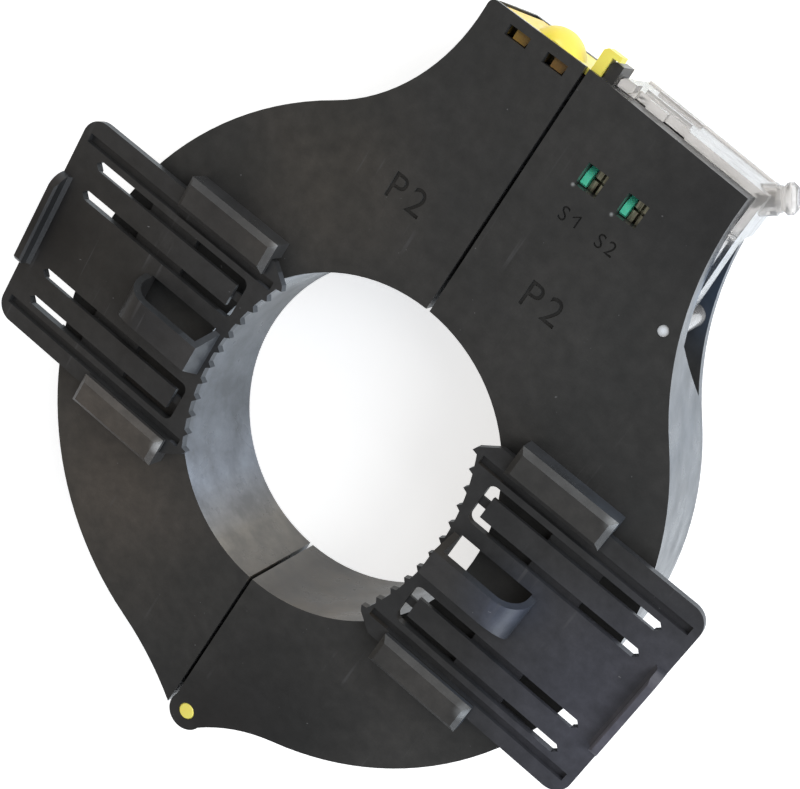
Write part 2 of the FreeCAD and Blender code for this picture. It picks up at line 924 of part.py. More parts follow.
def seal_origin():
    """Inner face of the cover's side, where the axis of the sealing screw leaves it."""
    return V(cover_inner_x, cover_under - seal_drop, seal_z)


def along_seal(distance):
    return seal_origin().add(seal_axis().multiply(distance))


def seal_cylinder(radius, start, length):
    return Part.makeCylinder(radius, length, along_seal(start), seal_axis())


def lid_strip(x0, x1, low, high, z0, z1):
    """Strip along the lid, between two heights over its sloping top."""
    face = polygon([
        V(x0, sloped(cover_top + low, x0), 0),
        V(x1, sloped(cover_top + low, x1), 0),
        V(x1, sloped(cover_top + high, x1), 0),
        V(x0, sloped(cover_top + high, x0), 0),
    ])
    return prism(face, z0, z1)


def cover_tab():
    """Finger tab at the front corner of the lid, over the front rim of the head."""
    x0 = cover_left + cover_tab_gap
    x1 = x0 + cover_tab_length
    low = sloped(head_top, x0) + cover_tab_gap
    b = cover_tab_bevel
    profile = polygon([
        V(x0, low, 0),
        V(x0, low + cover_tab_height - b, 0),
        V(x0 + b, low + cover_tab_height, 0),
        V(x1, low + cover_tab_height, 0),
        V(x1, low + b, 0),
        V(x1 - b, low, 0),
    ])
    return prism(profile, cover_z1 - overshoot, cover_z1 + cover_tab_width)


def terminal_cover():
    """Clear cover: a lid over the terminals, a side wall, and a leg down to the hinge barrel."""
    lid = lid_strip(cover_left, cover_side_x, -cover_thickness, 0, cover_z0, cover_z1)
    notches = []
    for start, end in cover_notches:
        notches.append(box(start, end, cover_leg_top, cover_top + overshoot,
                           cover_z1 - cover_notch_depth, cover_z1 + overshoot))
    lid = lid.cut(notches)
    side_top = sloped(cover_under, cover_side_x) + overshoot / 2
    side = box(cover_inner_x, cover_side_x, cover_leg_top, side_top, cover_z0, cover_z1)
    leg_low = cover_z1 - cover_leg_width
    leg = polygon([
        V(cover_inner_x, cover_leg_top, 0),
        V(cover_side_x, cover_leg_top, 0),
        V(cover_hinge_x + cover_thickness / 2, cover_hinge_y, 0),
        V(cover_hinge_x - cover_thickness / 2, cover_hinge_y, 0),
    ])
    leg = prism(leg, leg_low, cover_z1)
    fillet_box = box(cover_inner_x, cover_side_x, cover_leg_top - cover_foot_radius, cover_leg_top,
                     leg_low - cover_foot_radius, leg_low)
    fillet_hole = Part.makeCylinder(cover_foot_radius, cover_thickness * 2,
                                    V(cover_inner_x - cover_thickness / 2, cover_leg_top - cover_foot_radius,
                                      leg_low - cover_foot_radius), V(1, 0, 0))
    web = fillet_box.cut(fillet_hole)
    barrel = cylinder(cover_barrel_radius, cover_hinge_x, cover_hinge_y, cover_z0, cover_z1)
    rib_start = cover_left + cover_rib_inset
    ribs = [lid_strip(cover_left, cover_side_x, 0, cover_rim_height, cover_z0, cover_z0 + cover_rim_width)]
    for z in (cover_z0 + cover_rib_inset, cover_z1 - cover_rib_inset - cover_notch_depth):
        ribs.append(lid_strip(rib_start, rib_start + cover_rib_length, 0, cover_rib_height,
                              z, z + cover_rib_width))
    snap_z = (cover_z0 + cover_z1 - snap_width) / 2
    snap = box(snap_x, snap_x + snap_thickness, cover_under - snap_length, cover_under + overshoot / 2,
               snap_z, snap_z + snap_width)
    nose = polygon([
        V(snap_x, cover_under - snap_length, 0),
        V(snap_x - snap_nose, cover_under - snap_length + snap_nose, 0),
        V(snap_x, cover_under - snap_length + 2 * snap_nose, 0),
    ])
    boss = seal_cylinder(seal_boss_radius, 0, seal_boss_length)
    cover = lid.fuse([side, leg, web, barrel, snap, boss, prism(nose, snap_z, snap_z + snap_width)])
    cover = cover.fuse(ribs + [cover_tab()])
    shank_hole = seal_cylinder(seal_shank_radius + seal_shank_play, -cover_thickness * 2,
                               seal_boss_length + cover_thickness * 2)
    cover = cover.cut([shank_hole, cover_pin_hole(0, body_depth)])
    return cover.removeSplitter()


def cover_hinge_pin():
    length = body_depth - pin_recess - back_cover_thickness
    return Part.makeCylinder(cover_pin_radius, length,
                             V(cover_hinge_x, cover_hinge_y, back_cover_thickness), UP)


def sealing_screw():
    """Clear screw with a collar and a slotted head with bevelled rims."""
    shank = seal_cylinder(seal_shank_radius, -seal_shank_depth,
                          seal_shank_depth + seal_boss_length + seal_collar_length)
    collar = seal_cylinder(seal_collar_radius, seal_boss_length, seal_collar_length)
    head = seal_cylinder(seal_head_radius, seal_boss_length + seal_collar_length, seal_head_length)
    rims = []
    for edge in head.Edges:
        if edge.Curve.TypeId == "Part::GeomCircle":
            rims.append(edge)
    head = head.makeChamfer(seal_head_chamfer, rims)
    screw = shank.fuse([collar, head])
    tip = seal_boss_length + seal_collar_length + seal_head_length
    slot = Part.makeBox(seal_slot_depth, 2 * seal_head_radius, seal_slot_width,
                        V(0, -seal_head_radius, -seal_slot_width / 2))
    slot.rotate(V(0, 0, 0), UP, seal_angle)
    slot.translate(along_seal(tip - seal_slot_depth))
    return screw.cut(slot).removeSplitter()


# Clamp bracket, drawn in place for the terminal half with its underside at z = 0

def toothed_outline():
    """Plate outline: rounded outer corners and a hollow inner edge with pointed teeth."""
    radius = (tooth_corner_y ** 2 + tooth_edge_depth ** 2) / (2 * tooth_edge_depth)
    centre = V(bracket_inner - radius, 0, 0)
    limit = math.degrees(math.asin(tooth_corner_y / radius))
    tooth_angle = math.degrees(tooth_width / 2 / radius)
    pitch = 2 * (limit - tooth_angle) / (tooth_count - 1)
    at = centre.add(polar(radius, -limit))
    edges = []
    for index in range(tooth_count):
        middle = tooth_angle - limit + index * pitch
        base = centre.add(polar(radius, middle - tooth_angle))
        tip = centre.add(polar(radius - tooth_height, middle))
        base_end = centre.add(polar(radius, middle + tooth_angle))
        if base.sub(at).Length > tooth_height / 10:
            edges.append(arc_about(centre, at, base))
        else:
            base = at
        edges.append(line(base, tip))
        edges.append(line(tip, base_end))
        at = base_end
    r = bracket_corner_radius
    x0 = bracket_inner - tooth_flat
    x1 = bracket_outer
    y1 = bracket_half_width
    corner = V(x1 - r, y1 - r, 0)
    lower = V(x1 - r, r - y1, 0)
    points = [V(x0, y1, 0), V(x1 - r, y1, 0)]
    edges.append(line(at, points[0]))
    edges.append(line(points[0], points[1]))
    edges.append(arc_about(corner, points[1], V(x1, y1 - r, 0)))
    edges.append(line(V(x1, y1 - r, 0), V(x1, r - y1, 0)))
    edges.append(arc_about(lower, V(x1, r - y1, 0), V(x1 - r, -y1, 0)))
    edges.append(line(V(x1 - r, -y1, 0), V(x0, -y1, 0)))
    edges.append(line(V(x0, -y1, 0), centre.add(polar(radius, -limit))))
    return Part.Face(Part.Wire(edges))


def long_slot(y):
    """Slot with a pointed outer end."""
    half = slot_width / 2
    outline = polygon([
        V(slot_start, y - half, 0),
        V(slot_end - half, y - half, 0),
        V(slot_end, y, 0),
        V(slot_end - half, y + half, 0),
        V(slot_start, y + half, 0),
    ])
    return prism(outline, -overshoot, bracket_thickness + overshoot)


def both_sides(x0, x1, near, far, z0, z1):
    """Box and its mirror image, at a distance from the middle line of the bracket."""
    return [box(x0, x1, near, far, z0, z1), box(x0, x1, -far, -near, z0, z1)]


def tongue_reliefs():
    """Cuts from below that leave the two tongues thinner than the plate."""
    half = slot_width / 2
    return both_sides(slot_start, slot_end - half, slot_offsets[0], slot_offsets[1],
                      -overshoot, bracket_thickness - tongue_thickness)


def underside():
    """Webs that bridge the slots below the plate, and runners for the bracket to slide on."""
    half = slot_width / 2
    web_start = bracket_inner + slot_web_inset
    near = slot_offsets[0] - half - slot_web_side
    far = slot_offsets[1] + half + slot_web_side
    bridge = both_sides(web_start, web_start + slot_web_length, near, far, -runner_height, slot_web_rise)
    post = both_sides(web_start, web_start + slot_web_length, slot_offsets[0] + half,
                      slot_offsets[1] - half, 0, bracket_thickness - tongue_thickness / 2)
    runners = both_sides(bracket_inner + runner_start, bracket_outer - runner_end_margin,
                         far - slot_web_side / 2, far - slot_web_side / 2 + runner_width, -runner_height, 0)
    return bridge + post + runners


def tongue_gap(side):
    """Opening round the inner tip of a tongue, crossed by a thinner bar."""
    half = slot_width / 2
    low = slot_offsets[0] - half
    high = slot_offsets[1] + half
    left = bracket_inner + tongue_gap_inset
    gap = box(left, slot_start, low, high, -overshoot, bracket_thickness + overshoot)
    corners = []
    for edge in gap.Edges:
        upright = abs(edge.Vertexes[0].Z - edge.Vertexes[1].Z) > bracket_thickness
        if upright and edge.Vertexes[0].X < left + half:
            corners.append(edge)
    gap = gap.makeFillet(tongue_gap_corner, corners)
    middle = (low + high) / 2
    bar = box(left - overshoot, slot_start + overshoot, middle - tongue_bar_width / 2,
              middle + tongue_bar_width / 2, -overshoot, tongue_bar_thickness)
    gap = gap.cut(bar)
    if side < 0:
        gap = gap.mirror(V(0, 0, 0), V(0, 1, 0))
    return gap


def grip():
    """Finger grip: a strap that rises at the toothed edge and bends down at its outer end."""
    base = bracket_thickness
    top = base + grip_height
    bend_x = grip_end - grip_bend_radius
    bend_z = top - grip_bend_radius
    inner = grip_bend_radius - grip_strap
    slant = math.sqrt(0.5)
    outer_points = [V(bend_x, 0, top),
                    V(bend_x + grip_bend_radius * slant, 0, bend_z + grip_bend_radius * slant),
                    V(grip_end, 0, bend_z)]
    inner_points = [V(grip_end - grip_strap, 0, bend_z),
                    V(bend_x + inner * slant, 0, bend_z + inner * slant),
                    V(bend_x, 0, top - grip_strap)]
    edges = [
        line(V(grip_start, 0, 0), V(grip_start, 0, top)),
        line(V(grip_start, 0, top), outer_points[0]),
        arc_through(*outer_points),
        line(outer_points[2], V(grip_end, 0, 0)),
        line(V(grip_end, 0, 0), V(grip_end - grip_strap, 0, 0)),
        line(V(grip_end - grip_strap, 0, 0), inner_points[0]),
        arc_through(*inner_points),
        line(inner_points[2], V(grip_start + grip_strap, 0, top - grip_strap)),
        line(V(grip_start + grip_strap, 0, top - grip_strap), V(grip_start + grip_strap, 0, 0)),
        line(V(grip_start + grip_strap, 0, 0), V(grip_start, 0, 0)),
    ]
    strap = Part.Face(Part.Wire(edges)).extrude(V(0, 2 * grip_base_half_width, 0))
    strap.translate(V(0, -grip_base_half_width, 0))
    taper = polygon([
        V(grip_start, -grip_base_half_width, 0),
        V(grip_start, -grip_base_half_width, base),
        V(grip_start, -grip_top_half_width, top),
        V(grip_start, grip_top_half_width, top),
        V(grip_start, grip_base_half_width, base),
        V(grip_start, grip_base_half_width, 0),
    ]).extrude(V(grip_end - grip_start, 0, 0))
    return strap.common(taper)


def end_rib():
    """Raised rib along the outer end of the bracket, with one end rounded off and a sloping foot."""
    base = bracket_thickness
    top = base + end_rib_height
    w = end_rib_half_width
    slant = math.sqrt(0.5)
    ramp_middle = V(0, w - end_rib_ramp * (1 - slant), top - end_rib_height * (1 - slant))
    side = Part.Face(Part.Wire([
        line(V(0, -w, 0), V(0, -w, top - end_rib_corner)),
        line(V(0, -w, top - end_rib_corner), V(0, end_rib_corner - w, top)),
        line(V(0, end_rib_corner - w, top), V(0, w - end_rib_ramp, top)),
        arc_through(V(0, w - end_rib_ramp, top), ramp_middle, V(0, w, base)),
        line(V(0, w, base), V(0, w, 0)),
        line(V(0, w, 0), V(0, -w, 0)),
    ]))
    inner = bracket_outer - end_rib_length
    lengthwise = side.extrude(V(end_rib_length + end_rib_foot, 0, 0))
    lengthwise.translate(V(inner - end_rib_foot, 0, 0))
    across = polygon([
        V(inner - end_rib_foot, -w, 0),
        V(inner - end_rib_foot, -w, base),
        V(inner, -w, base + end_rib_foot),
        V(inner, -w, top - end_rib_bevel),
        V(inner + end_rib_bevel, -w, top),
        V(bracket_outer, -w, top),
        V(bracket_outer, -w, 0),
    ]).extrude(V(0, 2 * w, 0))
    return lengthwise.common(across)


def clamp_bracket():
    plate = prism(toothed_outline(), 0, bracket_thickness)
    cuts = []
    for side in (-1, 1):
        for offset in slot_offsets:
            cuts.append(long_slot(side * offset))
        cuts.append(tongue_gap(side))
        near = side * (bracket_half_width - side_groove_inset)
        start = tooth_corner_x + side_groove_end_margin
        floor = bracket_thickness - side_groove_depth
        far = near + side * side_groove_width
        cuts.append(box(start, bracket_outer - side_groove_end_margin, min(near, far), max(near, far),
                        floor, bracket_thickness + overshoot))
    window = grip_base_half_width + grip_side_gap
    cuts.append(box(grip_start + grip_strap, grip_end - grip_strap, -window, window,
                    -overshoot, bracket_thickness + overshoot))
    plate = plate.cut(cuts + tongue_reliefs())
    return plate.fuse([grip(), end_rib()] + underside()).removeSplitter()


def placed_bracket(side):
    bracket = clamp_bracket()
    if side < 0:
        bracket = bracket.mirror(V(0, 0, 0), V(1, 0, 0))
        bracket.translate(V(-bracket_left_offset, 0, 0))
    bracket.translate(V(0, 0, bracket_under))
    return bracket


# Every node and its solid

def build():
    nodes = {
        "terminal_half_shell": terminal_half_shell(),
        "terminal_half_back_cover": terminal_half_back_cover(),
        "terminal_half_core": core_half(1),
        "secondary_bobbin": secondary_bobbin(),
        "secondary_winding": secondary_winding(),
        "secondary_leads": secondary_leads(),
        "terminal_block": terminal_block(),
        "s1_wire_clamp": wire_clamp(0),
        "s2_wire_clamp": wire_clamp(1),
        "s1_release_button": release_button(0),
        "s2_release_button": release_button(1),
        "hinge_pin": hinge_pin(),
        "terminal_cover": terminal_cover(),
        "cover_hinge_pin": cover_hinge_pin(),
        "sealing_screw": sealing_screw(),
        "opening_half_shell": opening_half_shell(),
        "opening_half_back_cover": opening_half_back_cover(),
        "opening_half_core": core_half(-1),
        "core_cradle": core_cradle(),
        "core_spring_upper": core_spring(180 - spring_angle),
        "core_spring_lower": core_spring(180 + spring_angle),
        "latch_slider": latch_slider(),
        "terminal_side_bracket": placed_bracket(1),
        "opening_side_bracket": placed_bracket(-1),
    }
    return nodes


os.makedirs("parts", exist_ok=True)
for node_name, solid in build().items():
    solid.exportStep(os.path.join("parts", node_name + ".step"))
    print(node_name, len(solid.Solids), round(solid.Volume, 1), solid.isValid())
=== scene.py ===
import json
import math

import bpy
from mathutils import Matrix, Vector

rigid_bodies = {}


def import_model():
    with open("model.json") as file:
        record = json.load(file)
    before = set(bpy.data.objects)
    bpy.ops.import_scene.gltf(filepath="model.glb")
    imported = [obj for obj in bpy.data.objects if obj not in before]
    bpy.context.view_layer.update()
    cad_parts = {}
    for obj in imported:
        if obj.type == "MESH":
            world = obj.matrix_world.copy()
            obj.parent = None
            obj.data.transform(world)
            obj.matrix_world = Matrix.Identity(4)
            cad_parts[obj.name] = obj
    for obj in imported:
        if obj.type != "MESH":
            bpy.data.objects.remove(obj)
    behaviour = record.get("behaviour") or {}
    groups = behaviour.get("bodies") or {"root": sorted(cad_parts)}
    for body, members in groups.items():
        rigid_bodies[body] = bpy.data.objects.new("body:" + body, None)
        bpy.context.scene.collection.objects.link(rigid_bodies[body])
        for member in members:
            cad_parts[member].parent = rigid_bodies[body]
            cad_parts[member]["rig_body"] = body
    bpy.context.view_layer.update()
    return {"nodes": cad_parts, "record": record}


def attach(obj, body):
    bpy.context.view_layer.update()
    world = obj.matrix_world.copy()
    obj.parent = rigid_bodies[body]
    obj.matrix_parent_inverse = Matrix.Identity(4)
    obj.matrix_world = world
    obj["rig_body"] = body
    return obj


# Looks of the split-core current transformer. Metres, in the frame of the CAD part: it lies on its
# back, the front face looks up, +X points to the half with the terminals and +Y to the latch.

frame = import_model()
nodes = frame["nodes"]
MM = 0.001

# Camera: image and lens in pixels, place in metres, angles in degrees
image_width = 800
image_height = 789
focal_pixels = 1384.3
axis_pixel = (409.8, 480.4)
camera_place = (0.07422, 0.13545, 0.30217)
camera_angles = (-14.0745, 23.7738, 34.5657)
camera_near = 0.01
sensor_width = 36.0

# Lights: place and size in metres, power in watts, colour
lights = {
    "key_light": ((0.80, 0.60, 0.75), 0.8, 8.0, (1.0, 0.985, 0.96)),
    "head_light": ((-0.15, 1.0, 0.5), 0.45, 3.5, (0.90, 0.95, 1.0)),
    "side_light": ((1.1, -0.2, 0.25), 0.7, 6.5, (0.84, 0.92, 1.0)),
}
lights_aim = (0, 0, 0.015)

# Surroundings: strength, and colours by their share of the way from -X to +X
world_strength = 0.55
world_tints = [(0.25, (0.80, 0.72, 0.62)), (0.5, (0.62, 0.63, 0.64)), (0.75, (0.66, 0.74, 0.86))]

# Floor: side in metres, drop below the part in millimetres, and its glow as the camera sees it
# straight, through clear plastic and in reflections
floor_size = 8.0
floor_drop = 0.3
camera_glow = 0.62
through_glow = 0.3
mirror_glow = 0.7
mirror_tint = (0.84, 0.92, 1.0)

# Lettering cut into the front face: text, node, lower left corner, height in millimetres, angle
letter_depth = 0.45
letter_spacing = 1.27
letterings = {
    "mark_s1": ("S", "terminal_half_shell", (11.7, 72.5), 3.1, 0),
    "mark_s1_stem": ("I", "terminal_half_shell", (15.72, 72.85), 2.75, 0),
    "mark_s1_flag": ("I", "terminal_half_shell", (14.40, 74.35), 1.75, -54),
    "mark_s2": ("S2", "terminal_half_shell", (21.0, 72.5), 3.1, 0),
    "mark_p2_right": ("P2", "terminal_half_shell", (15.2, 53.6), 6.0, 0),
    "mark_p2_left": ("P2", "opening_half_shell", (-22.0, 54.0), 6.0, 0),
}

# Black plastic. Places are in millimetres, and a tone is a factor on the colour below it. Level
# faces between the first two heights are floors of letters, darkened with painted shade; those
# above the raised height are lighter.
letter_floor = (30.2, 30.9)
letter_painted_shade = (0.58, 0.58, 0.58)
raised_height = 36
raised_tone = (1.5, 1.45, 1.42)
grain_colour = (0.010, 0.010, 0.011)
dust_colour = (0.26, 0.26, 0.27)
scratch_colour = (0.085, 0.085, 0.09)

# Upright walls: colours, and tints of the reflections, over the span in X. The colours are painted
# light and shade, lighter and bluer where light and reflections fall, and the tints are painted
# reflection, standing for the colours of the surroundings. The wall of the cable window lies within
# its reach from the axis and has painted light and shade of its own.
wall_span = (-45, 75)
bore_reach = 41.5
bore_painted_light = [
    (0.06, (0.185, 0.200, 0.225)), (0.17, (0.300, 0.330, 0.385)), (0.28, (0.275, 0.248, 0.210)),
    (0.42, (0.074, 0.062, 0.050)), (0.55, (0.125, 0.092, 0.058)), (0.72, (0.060, 0.056, 0.052)),
]
side_colours_and_painted_sheen = [
    (0.6, (0.050, 0.050, 0.051)), (0.86, (0.062, 0.072, 0.088)), (1.0, (0.034, 0.035, 0.037)),
]
painted_reflection_tints = [
    (0.05, (0.82, 0.93, 1.0)), (0.2, (0.96, 0.98, 1.0)), (0.28, (1.0, 0.96, 0.90)),
    (0.42, (0.90, 0.82, 0.72)), (0.6, (0.94, 0.80, 0.62)), (0.86, (0.84, 0.93, 1.0)),
    (1.0, (0.74, 0.76, 0.80)),
]

# Painted light and shade on the black plastic, place, radius and tone: lighter and darker
# patches where light falls and shade lies, bluish patches of painted reflection, and small
# painted glints at the corners of the terminal windows and the ends of the guide blocks
housing_painted_light_and_shade = [
    ((-46, -44, 31), 50, (2.10, 1.84, 1.62)),
    ((-36, 50, 31), 32, (1.62, 1.48, 1.32)),
    ((20, -68, 31), 34, (0.50, 0.51, 0.54)),
    ((10, -80, 31), 18, (0.60, 0.58, 0.60)),
    ((38, 92, 31), 24, (0.62, 0.62, 0.65)),
    ((56, -44, 31), 26, (1.3, 1.3, 1.3)),
    ((32, 54, 31), 24, (1.22, 1.22, 1.22)),
    ((-50, 30, 37), 16, (0.62, 0.62, 0.64)),
    ((47, 74, 3), 17, (0.95, 1.55, 2.6)),
    ((10.7, 79.7, 31), 0.6, (10.0, 10.3, 10.6)),
    ((20.6, 79.6, 31), 0.6, (10.0, 10.3, 10.6)),
    ((-34.2, 33.0, 36.5), 3.0, (6.5, 7.2, 8.0)),
    ((-34.2, -26.0, 36.5), 3.0, (6.5, 7.2, 8.0)),
    ((59.2, 31.6, 36.5), 3.0, (5.0, 5.4, 5.8)),
    ((59.2, -26.0, 36.5), 3.0, (5.0, 5.4, 5.8)),
]
housing_wall_painted_light_and_shade = [
    ((-38, 16, 2), 28, (0.34, 0.30, 0.26)),
    ((70, -10, 16), 22, (0.72, 0.72, 0.72)),
    ((41, 77, 15), 17, (1.5, 2.4, 3.6)),
]
bracket_painted_light_and_shade = [
    ((88, -6, 35), 44, (2.7, 2.75, 3.4)),
    ((-75, 0, 35), 40, (0.78, 0.72, 0.64)),
    ((-88, 0, 36), 20, (0.30, 0.28, 0.30)),
    ((-50, 0, 42), 14, (0.55, 0.57, 0.62)),
    ((52, 4, 42), 14, (1.3, 1.5, 2.0)),
]

# Yellow plastic: colours of the latch over a span in X, darker orange at the left end as painted
# shade and paler to the right as painted glare; painted shade of its recess (left of this X, below
# this Y and above this Z) and of its lugs; and the colour of the hinge pin, the only yellow piece
# below this Y
latch_span = (-24, 5)
latch_yellow_shade_and_glare = [(0.0, (0.95, 0.60, 0.03)), (0.42, (0.96, 0.78, 0.06)),
                 (0.62, (0.97, 0.84, 0.13)), (1.0, (0.98, 0.88, 0.16))]
recess_shade_limits = (-3.19, 97.31, 25.5)
recess_painted_shade = (0.045, 0.032, 0.015)
lug_height = 29.15
lug_painted_shade = (0.21, 0.115, 0.028)
pin_limit = 0.5
pin_colour = (1.0, 0.92, 0.20)
yellow_shade = (0.80, 0.55, 0.05)
yellow_rough = (0.33, 0.45)

# Clear plastic: colours, milky end of the cover's pin, and ranges in Y between which the leg starts
# and ends, where it is clearer than the lid
clear_low = (0.66, 0.64, 0.62)
clear_high = (0.73, 0.71, 0.69)
clear_ior = 1.47
cover_blobs = [
    ((38, 100, 20), 20, (0.60, 0.58, 0.555)),
    # painted shade: the dark recess behind the leg, seen through it
    ((44.5, 84, 24), 9, (0.42, 0.48, 0.56)),
    ((43, 66, 22), 7, (0.82, 0.86, 0.92)),
    ((52, 102, 20), 9, (0.95, 0.94, 0.94)),
]
cover_pin_end = ((42.8, 67.5, 31), 2.2)
cover_pin_colour = (0.78, 0.82, 0.87)
leg_start = (86, 90)
leg_end = (69, 72)
lid_clearness = 0.68
leg_clearness = 0.95

# Copper winding: scale of the wave texture, for turns about 2 mm apart, and its two colours:
# painted shade in the gaps between the turns, and copper on them
wire_scale = 160.0
wire_gap_shade = (0.16, 0.05, 0.015)
wire_high = (0.62, 0.26, 0.09)


# Material helpers

class Nodes:
    """Node tree of one material or world, with short calls for adding and joining nodes."""

    def __init__(self, owner, coordinate="Object"):
        owner.use_nodes = True
        self.owner = owner
        self.tree = owner.node_tree
        self.place = self.add("ShaderNodeTexCoord").outputs[coordinate]

    def add(self, kind, **values):
        node = self.tree.nodes.new(kind)
        for key, value in values.items():
            setattr(node, key, value)
        return node

    def join(self, source, target):
        self.tree.links.new(source, target)

    def fill(self, node, **values):
        """Sets or joins inputs of a node, named with _ for spaces."""
        for key, value in values.items():
            self.fill_socket(node.inputs[key.replace("_", " ")], value)

    def fill_socket(self, socket, value):
        """Joins a socket to another, or sets it to a number or an RGB colour."""
        if isinstance(value, bpy.types.NodeSocket):
            self.join(value, socket)
        elif isinstance(value, tuple) and socket.type == "RGBA":
            socket.default_value = value + (1.0,)
        else:
            socket.default_value = value

    def shader(self, **values):
        """Sets or joins inputs of the material's shader, and gives back the material."""
        self.fill(self.tree.nodes["Principled BSDF"], **values)
        return self.owner

    # Numbers

    def math(self, operation, a, b):
        node = self.add("ShaderNodeMath", operation=operation)
        self.fill_socket(node.inputs[0], a)
        self.fill_socket(node.inputs[1], b)
        return node.outputs["Value"]

    def product(self, first, *others):
        for other in others:
            first = self.math("MULTIPLY", first, other)
        return first

    def total(self, first, *others):
        for other in others:
            first = self.math("ADD", first, other)
        return first

    def inverse(self, share):
        return self.math("SUBTRACT", 1.0, share)

    def spread(self, value, low, high, start=0.0, end=1.0, curve="LINEAR"):
        """Takes the range from low to high to the range from start to end."""
        node = self.add("ShaderNodeMapRange", interpolation_type=curve)
        self.fill(node, Value=value, From_Min=low, From_Max=high, To_Min=start, To_Max=end)
        return node.outputs["Result"]

    # Places

    def axis(self, name, vector=None):
        """One coordinate of a vector, or of the place."""
        node = self.add("ShaderNodeSeparateXYZ")
        self.join(vector or self.place, node.inputs["Vector"])
        return node.outputs[name]

    def along(self, name, low, high):
        """0 to 1 between two places on an axis, in millimetres."""
        return self.spread(self.axis(name), low * MM, high * MM)

    def above(self, name, limit):
        """1 beyond this place on an axis, in millimetres, and 0 before it."""
        return self.math("GREATER_THAN", self.axis(name), limit * MM)

    def below(self, name, limit):
        """1 before this place on an axis, in millimetres, and 0 beyond it."""
        return self.math("LESS_THAN", self.axis(name), limit * MM)

    def blob(self, centre, radius):
        """1 at a place and 0 from a distance on, in millimetres."""
        gap = self.add("ShaderNodeVectorMath", operation="DISTANCE")
        gap.inputs[1].default_value = [k * MM for k in centre]
        self.join(self.place, gap.inputs[0])
        return self.spread(gap.outputs["Value"], 0.0, radius * MM, 1.0, 0.0, "SMOOTHSTEP")

    def upright(self):
        """1 on upright walls and 0 on level faces."""
        rise = self.axis("Z", self.add("ShaderNodeNewGeometry").outputs["Normal"])
        return self.ramp(self.math("ABSOLUTE", rise, 0.0), [(0.3, 1.0), (0.6, 0.0)])

    def in_bore(self):
        """1 on the wall of the cable window and 0 farther out."""
        flat = self.add("ShaderNodeVectorMath", operation="MULTIPLY")
        flat.inputs[1].default_value = (1.0, 1.0, 0.0)
        self.join(self.place, flat.inputs[0])
        reach = self.add("ShaderNodeVectorMath", operation="LENGTH")
        self.join(flat.outputs["Vector"], reach.inputs[0])
        return self.math("LESS_THAN", reach.outputs["Value"], bore_reach * MM)

    # Colours and textures

    def noise(self, size, detail=3.0, rough=0.5, stretch=None, distortion=0.0):
        """Noise of about this size in millimetres; stretch is angles in degrees and factors."""
        node = self.add("ShaderNodeTexNoise")
        vector = self.place
        if stretch:
            mapping = self.add("ShaderNodeMapping")
            self.fill(mapping, Vector=self.place, Scale=stretch[1],
                      Rotation=[math.radians(a) for a in stretch[0]])
            vector = mapping.outputs["Vector"]
        self.fill(node, Vector=vector, Scale=1 / (size * MM), Detail=detail, Roughness=rough,
                  Distortion=distortion)
        return node.outputs["Fac"]

    def ramp(self, source, stops):
        """Colour ramp from (position, colour) stops; a number stands for a grey."""
        node = self.add("ShaderNodeValToRGB")
        elements = node.color_ramp.elements
        while len(elements) < len(stops):
            elements.new(0.5)
        for element, (position, colour) in zip(elements, stops):
            element.position = position
            rgb = colour if isinstance(colour, tuple) else (colour, colour, colour)
            element.color = rgb + (1.0,)
        self.join(source, node.inputs["Fac"])
        return node.outputs["Color"]

    def mix(self, factor, a, b, blend="MIX"):
        """Mixes two colours; each is a socket or a colour, and the factor a socket or a number."""
        node = self.add("ShaderNodeMix", data_type="RGBA", blend_type=blend)
        for socket, value in ((node.inputs["Factor"], factor), (node.inputs[6], a),
                              (node.inputs[7], b)):
            self.fill_socket(socket, value)
        return node.outputs[2]

    def tint(self, share, colour, tone):
        """Multiplies a colour by a tone, as far as the share says."""
        return self.mix(share, colour, self.mix(1.0, colour, tone, "MULTIPLY"))

    def bump(self, height, strength, distance, normal=None):
        """Bump whose distance is in millimetres."""
        node = self.add("ShaderNodeBump")
        self.fill(node, Strength=strength, Distance=distance * MM, Height=height)
        if normal:
            self.join(normal, node.inputs["Normal"])
        return node.outputs["Normal"]


def new_material(name):
    return Nodes(bpy.data.materials.new(name))


# Materials

def level_colour(n, low, high, grain, level, blobs):
    """Mottled colour of black plastic, with patches of painted light and shade, painted shade in
    the letters, and lighter on raised faces.
    """
    colour = n.ramp(n.noise(28, 4.0, 0.6), [(0.35, low), (0.65, high)])
    mottle = n.ramp(n.noise(3.5, 5.0, 0.7), [(0.3, 0.80), (0.7, 1.22)])
    colour = n.mix(1.0, colour, mottle, "MULTIPLY")
    colour = n.mix(n.product(grain, 0.35), colour, grain_colour)
    # lighter and darker patches of painted light and shade
    for centre, radius, tone in blobs:
        colour = n.tint(n.blob(centre, radius), colour, tone)
    # painted shade on the floors of the letters
    in_letter = n.product(n.above("Z", letter_floor[0]), n.below("Z", letter_floor[1]), level)
    colour = n.tint(in_letter, colour, letter_painted_shade)
    return n.tint(n.product(n.above("Z", raised_height), level), colour, raised_tone)


def painted_wall_light(n, blobs):
    """Painted light and shade on the upright walls of black plastic, and the painted tint of their
    reflections.
    """
    across = n.along("X", *wall_span)
    colour = n.mix(n.in_bore(), n.ramp(across, side_colours_and_painted_sheen), n.ramp(across, bore_painted_light))
    shine = n.ramp(across, painted_reflection_tints)
    for centre, radius, tone in blobs:
        near = n.blob(centre, radius)
        colour = n.tint(near, colour, tone)
        shine = n.tint(near, shine, tone)
    return colour, shine


def dust_specks(n, amount):
    specks = n.ramp(n.noise(0.8, 1.0), [(0.765, 0.0), (0.785, 1.0)])
    areas = n.ramp(n.noise(9, 2.0), [(0.58, 0.0), (0.66, 1.0)])
    return n.product(specks, areas, amount)


